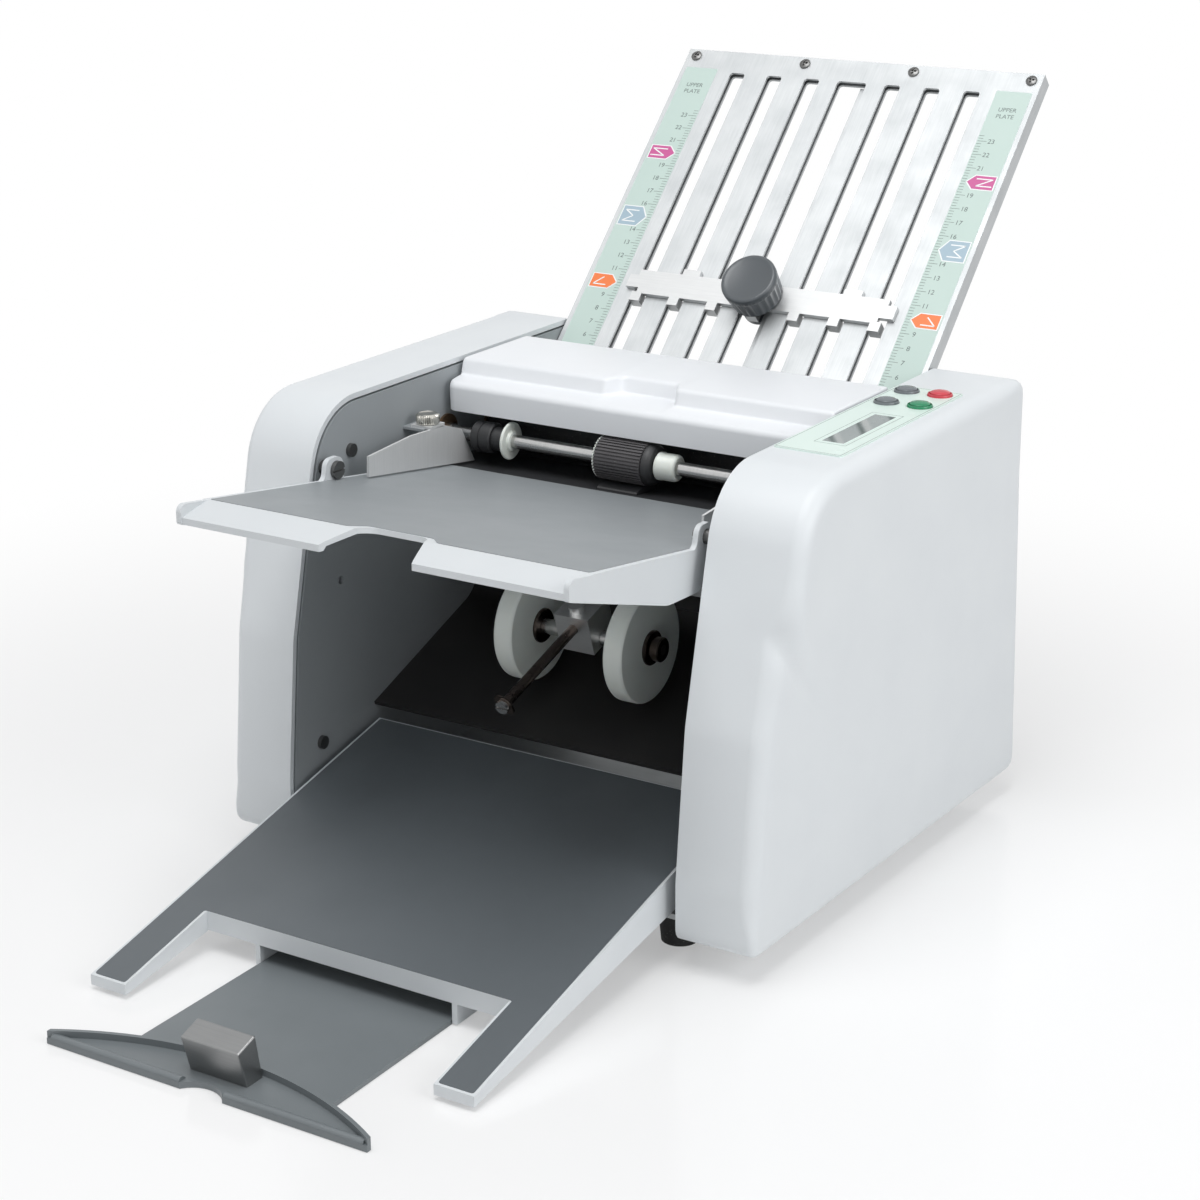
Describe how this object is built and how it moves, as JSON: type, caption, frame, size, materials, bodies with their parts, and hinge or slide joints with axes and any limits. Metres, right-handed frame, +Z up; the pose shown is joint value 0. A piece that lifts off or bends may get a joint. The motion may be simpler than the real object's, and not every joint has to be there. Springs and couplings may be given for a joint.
{
  "type": "paper folding machine",
  "caption": "Desk paper folding machine: friction feed table between two moulded side covers, slotted buckle plates, fold rollers and a sloping delivery tray with a sliding stop",
  "frame": {"origin": "middle of the floor that the machine covers", "axes": "+Z up, folded sheets come out towards -Y, +X is the control panel's side"},
  "size_m": [0.3496, 0.6762, 0.4098],
  "materials": {
    "cover_plastic": "fine-textured light grey moulding",
    "white_plastic": "smooth white moulding",
    "wall_paint": "grey powder coat",
    "zinc_steel": "zinc plated sheet",
    "foot_rubber": "soft black rubber",
    "screw_steel": "turned steel",
    "panel_film": "printed mint film",
    "window_acrylic": "smoked acrylic",
    "board_laminate": "green board",
    "key_grey": "grey domed key",
    "key_green": "green domed key",
    "key_red": "red domed key",
    "inlet_plastic": "black moulding",
    "motor_shell": "black powder coat",
    "belt_rubber": "toothed belt",
    "pulley_plastic": "black acetal",
    "gear_nylon": "natural nylon",
    "bush_bronze": "sintered bronze",
    "roller_rubber": "ground rubber on steel",
    "shaft_steel": "ground shaft",
    "tyre_rubber": "ribbed black rubber",
    "pad_plastic": "dark grey moulding",
    "table_plastic": "grey moulding",
    "guide_steel": "brushed stainless sheet",
    "screw_nickel": "knurled nickel",
    "plate_aluminium": "brushed sheet",
    "stop_steel": "satin stainless",
    "knob_plastic": "slate fluted knob",
    "rod_black": "blackened rod",
    "bracket_aluminium": "milled block",
    "wheel_plastic": "pale nylon disc",
    "exit_plastic": "dark grey moulding",
    "stopper_plastic": "grey moulding",
    "block_steel": "brushed block"
  },
  "bodies": {
    "root": {"base_plate": "zinc_steel", "rubber_feet": "foot_rubber", "left_side_frame": "wall_paint", "right_side_frame": "wall_paint", "left_cover": "cover_plastic", "right_cover": "cover_plastic", "control_panel": "panel_film", "lcd_window": "window_acrylic", "circuit_board": "board_laminate", "mains_inlet": "inlet_plastic", "motor": "motor_shell", "drive_belt": "belt_rubber", "feed_belt": "belt_rubber", "bearing_bushes": "bush_bronze", "separator_block": "pad_plastic", "paper_guide_plate": "pad_plastic", "tie_bars": "zinc_steel", "frame_screws": "screw_steel", "press_rod": "rod_black", "exit_table": "exit_plastic", "exit_chute": "motor_shell"},
    "drive_roller_unit": {"drive_roller": "roller_rubber", "drive_gear": "gear_nylon"},
    "upper_roller_unit": {"upper_roller": "roller_rubber", "upper_gear": "gear_nylon"},
    "rear_roller_unit": {"rear_roller": "roller_rubber", "rear_gear": "gear_nylon"},
    "lower_roller_unit": {"lower_roller": "roller_rubber", "lower_gear": "gear_nylon"},
    "feed_roller_unit": {"feed_shaft": "shaft_steel", "feed_roller_core": "pulley_plastic", "feed_roller_tyre": "tyre_rubber", "feed_pulley": "pulley_plastic"},
    "motor_drive": {"motor_pulley": "pulley_plastic"},
    "top_cover_unit": {"top_cover": "white_plastic"},
    "feed_table_unit": {"feed_table": "table_plastic"},
    "left_guide_unit": {"left_guide": "guide_steel"},
    "right_guide_unit": {"right_guide": "guide_steel"},
    "left_thumb_screw": {"left_guide_screw": "screw_nickel"},
    "right_thumb_screw": {"right_guide_screw": "screw_nickel"},
    "upper_plate": {"upper_plate_front_sheet": "plate_aluminium", "upper_plate_rear_sheet": "plate_aluminium", "upper_plate_screws": "screw_nickel"},
    "upper_stop": {"upper_stop_bar": "stop_steel"},
    "upper_knob": {"upper_stop_knob": "knob_plastic"},
    "lower_plate": {"lower_plate_bottom_sheet": "plate_aluminium", "lower_plate_top_sheet": "plate_aluminium"},
    "lower_stop": {"lower_stop_bar": "stop_steel"},
    "lower_knob": {"lower_stop_knob": "knob_plastic"},
    "press_carriage": {"press_bracket": "bracket_aluminium", "press_axle": "shaft_steel"},
    "left_wheel": {"left_press_wheel": "wheel_plastic"},
    "right_wheel": {"right_press_wheel": "wheel_plastic"},
    "delivery_stop": {"exit_stopper": "stopper_plastic", "stopper_block": "block_steel"},
    "green_key": {"green_button": "key_green"},
    "red_key": {"red_button": "key_red"},
    "front_grey_key": {"front_grey_button": "key_grey"},
    "rear_grey_key": {"rear_grey_button": "key_grey"},
    "power_key": {"power_rocker": "inlet_plastic"}
  },
  "joints": [
    {"name": "drive_roller_spin", "type": "hinge", "parent": "root", "child": "drive_roller_unit", "pos_m": [-0.00375, 0.10485, 0.1835], "axis": [1, 0, 0], "continuous": true},
    {"name": "upper_roller_spin", "type": "hinge", "parent": "root", "child": "upper_roller_unit", "pos_m": [-0.00375, 0.09709, 0.21248], "axis": [1, 0, 0], "continuous": true},
    {"name": "rear_roller_spin", "type": "hinge", "parent": "root", "child": "rear_roller_unit", "pos_m": [-0.00375, 0.13439, 0.17829], "axis": [1, 0, 0], "continuous": true},
    {"name": "lower_roller_spin", "type": "hinge", "parent": "root", "child": "lower_roller_unit", "pos_m": [-0.00375, 0.11006, 0.15396], "axis": [1, 0, 0], "continuous": true},
    {"name": "feed_roller_spin", "type": "hinge", "parent": "root", "child": "feed_roller_unit", "pos_m": [-0.00375, 0.04795, 0.218], "axis": [1, 0, 0], "continuous": true},
    {"name": "motor_spin", "type": "hinge", "parent": "root", "child": "motor_drive", "pos_m": [0.14625, 0.07695, 0.06], "axis": [1, 0, 0], "continuous": true},
    {"name": "top_cover_hinge", "type": "hinge", "parent": "root", "child": "top_cover_unit", "pos_m": [-0.00375, 0.12395, 0.245], "axis": [-1, 0, 0], "range_deg": [0, 75]},
    {"name": "feed_table_tilt", "type": "hinge", "parent": "root", "child": "feed_table_unit", "pos_m": [-0.00375, -0.07005, 0.224], "axis": [-1, 0, 0], "range_deg": [0, 3]},
    {"name": "left_guide_slide", "type": "slide", "parent": "root", "child": "left_guide_unit", "axis": [1, 0, 0], "range_m": [-0.002, 0.003]},
    {"name": "right_guide_slide", "type": "slide", "parent": "root", "child": "right_guide_unit", "axis": [-1, 0, 0], "range_m": [-0.002, 0.003]},
    {"name": "left_thumb_screw_turn", "type": "hinge", "parent": "root", "child": "left_thumb_screw", "pos_m": [-0.11575, 0.01315, 0.235], "axis": [0, 0, 1], "continuous": true},
    {"name": "right_thumb_screw_turn", "type": "hinge", "parent": "root", "child": "right_thumb_screw", "pos_m": [0.10825, 0.01315, 0.235], "axis": [0, 0, 1], "continuous": true},
    {"name": "upper_plate_slide", "type": "slide", "parent": "root", "child": "upper_plate", "axis": [0, 0.7096, 0.7046], "range_m": [0, 0.08]},
    {"name": "upper_stop_slide", "type": "slide", "parent": "upper_plate", "child": "upper_stop", "axis": [0, 0.7096, 0.7046], "range_m": [-0.035, 0.137]},
    {"name": "upper_knob_turn", "type": "hinge", "parent": "upper_stop", "child": "upper_knob", "pos_m": [-0.00375, 0.19235, 0.2918], "axis": [0, -0.7046, 0.7096], "continuous": true},
    {"name": "lower_plate_slide", "type": "slide", "parent": "root", "child": "lower_plate", "axis": [0, 0.8192, -0.5736], "range_m": [0, 0.06]},
    {"name": "lower_stop_slide", "type": "slide", "parent": "lower_plate", "child": "lower_stop", "axis": [0, 0.8192, -0.5736], "range_m": [-0.03, 0.04]},
    {"name": "lower_knob_turn", "type": "hinge", "parent": "lower_stop", "child": "lower_knob", "pos_m": [-0.00375, 0.22358, 0.10953], "axis": [0, 0.5736, 0.8192], "continuous": true},
    {"name": "press_carriage_slide", "type": "slide", "parent": "root", "child": "press_carriage", "axis": [0, -0.9521, -0.3057], "range_m": [-0.008, 0.055]},
    {"name": "left_press_wheel_spin", "type": "hinge", "parent": "press_carriage", "child": "left_wheel", "pos_m": [-0.03955, 0.00492, 0.12699], "axis": [1, 0, 0], "continuous": true},
    {"name": "right_press_wheel_spin", "type": "hinge", "parent": "press_carriage", "child": "right_wheel", "pos_m": [0.03205, 0.00492, 0.12699], "axis": [1, 0, 0], "continuous": true},
    {"name": "exit_stopper_slide", "type": "slide", "parent": "root", "child": "delivery_stop", "axis": [0, 1, 0], "range_m": [-0.04, 0.045]},
    {"name": "front_grey_button_press", "type": "slide", "parent": "root", "child": "front_grey_key", "axis": [0, 0, -1], "range_m": [0, 0.0015], "stiffness_N_per_m": 300, "springref_m": -0.002},
    {"name": "rear_grey_button_press", "type": "slide", "parent": "root", "child": "rear_grey_key", "axis": [0, 0, -1], "range_m": [0, 0.0015], "stiffness_N_per_m": 300, "springref_m": -0.002},
    {"name": "green_button_press", "type": "slide", "parent": "root", "child": "green_key", "axis": [0, 0, -1], "range_m": [0, 0.0015], "stiffness_N_per_m": 300, "springref_m": -0.002},
    {"name": "red_button_press", "type": "slide", "parent": "root", "child": "red_key", "axis": [0, 0, -1], "range_m": [0, 0.0015], "stiffness_N_per_m": 300, "springref_m": -0.002},
    {"name": "power_rocker_tip", "type": "hinge", "parent": "root", "child": "power_key", "pos_m": [0.14725, 0.20195, 0.068], "axis": [1, 0, 0], "range_deg": [-7, 7]}
  ],
  "couplings": [
    {"joint": "upper_roller_spin", "follows": "drive_roller_spin", "ratio": -1},
    {"joint": "rear_roller_spin", "follows": "drive_roller_spin", "ratio": -1},
    {"joint": "lower_roller_spin", "follows": "drive_roller_spin", "ratio": -1},
    {"joint": "feed_roller_spin", "follows": "drive_roller_spin", "ratio": -1},
    {"joint": "motor_spin", "follows": "drive_roller_spin", "ratio": 2}
  ]
}
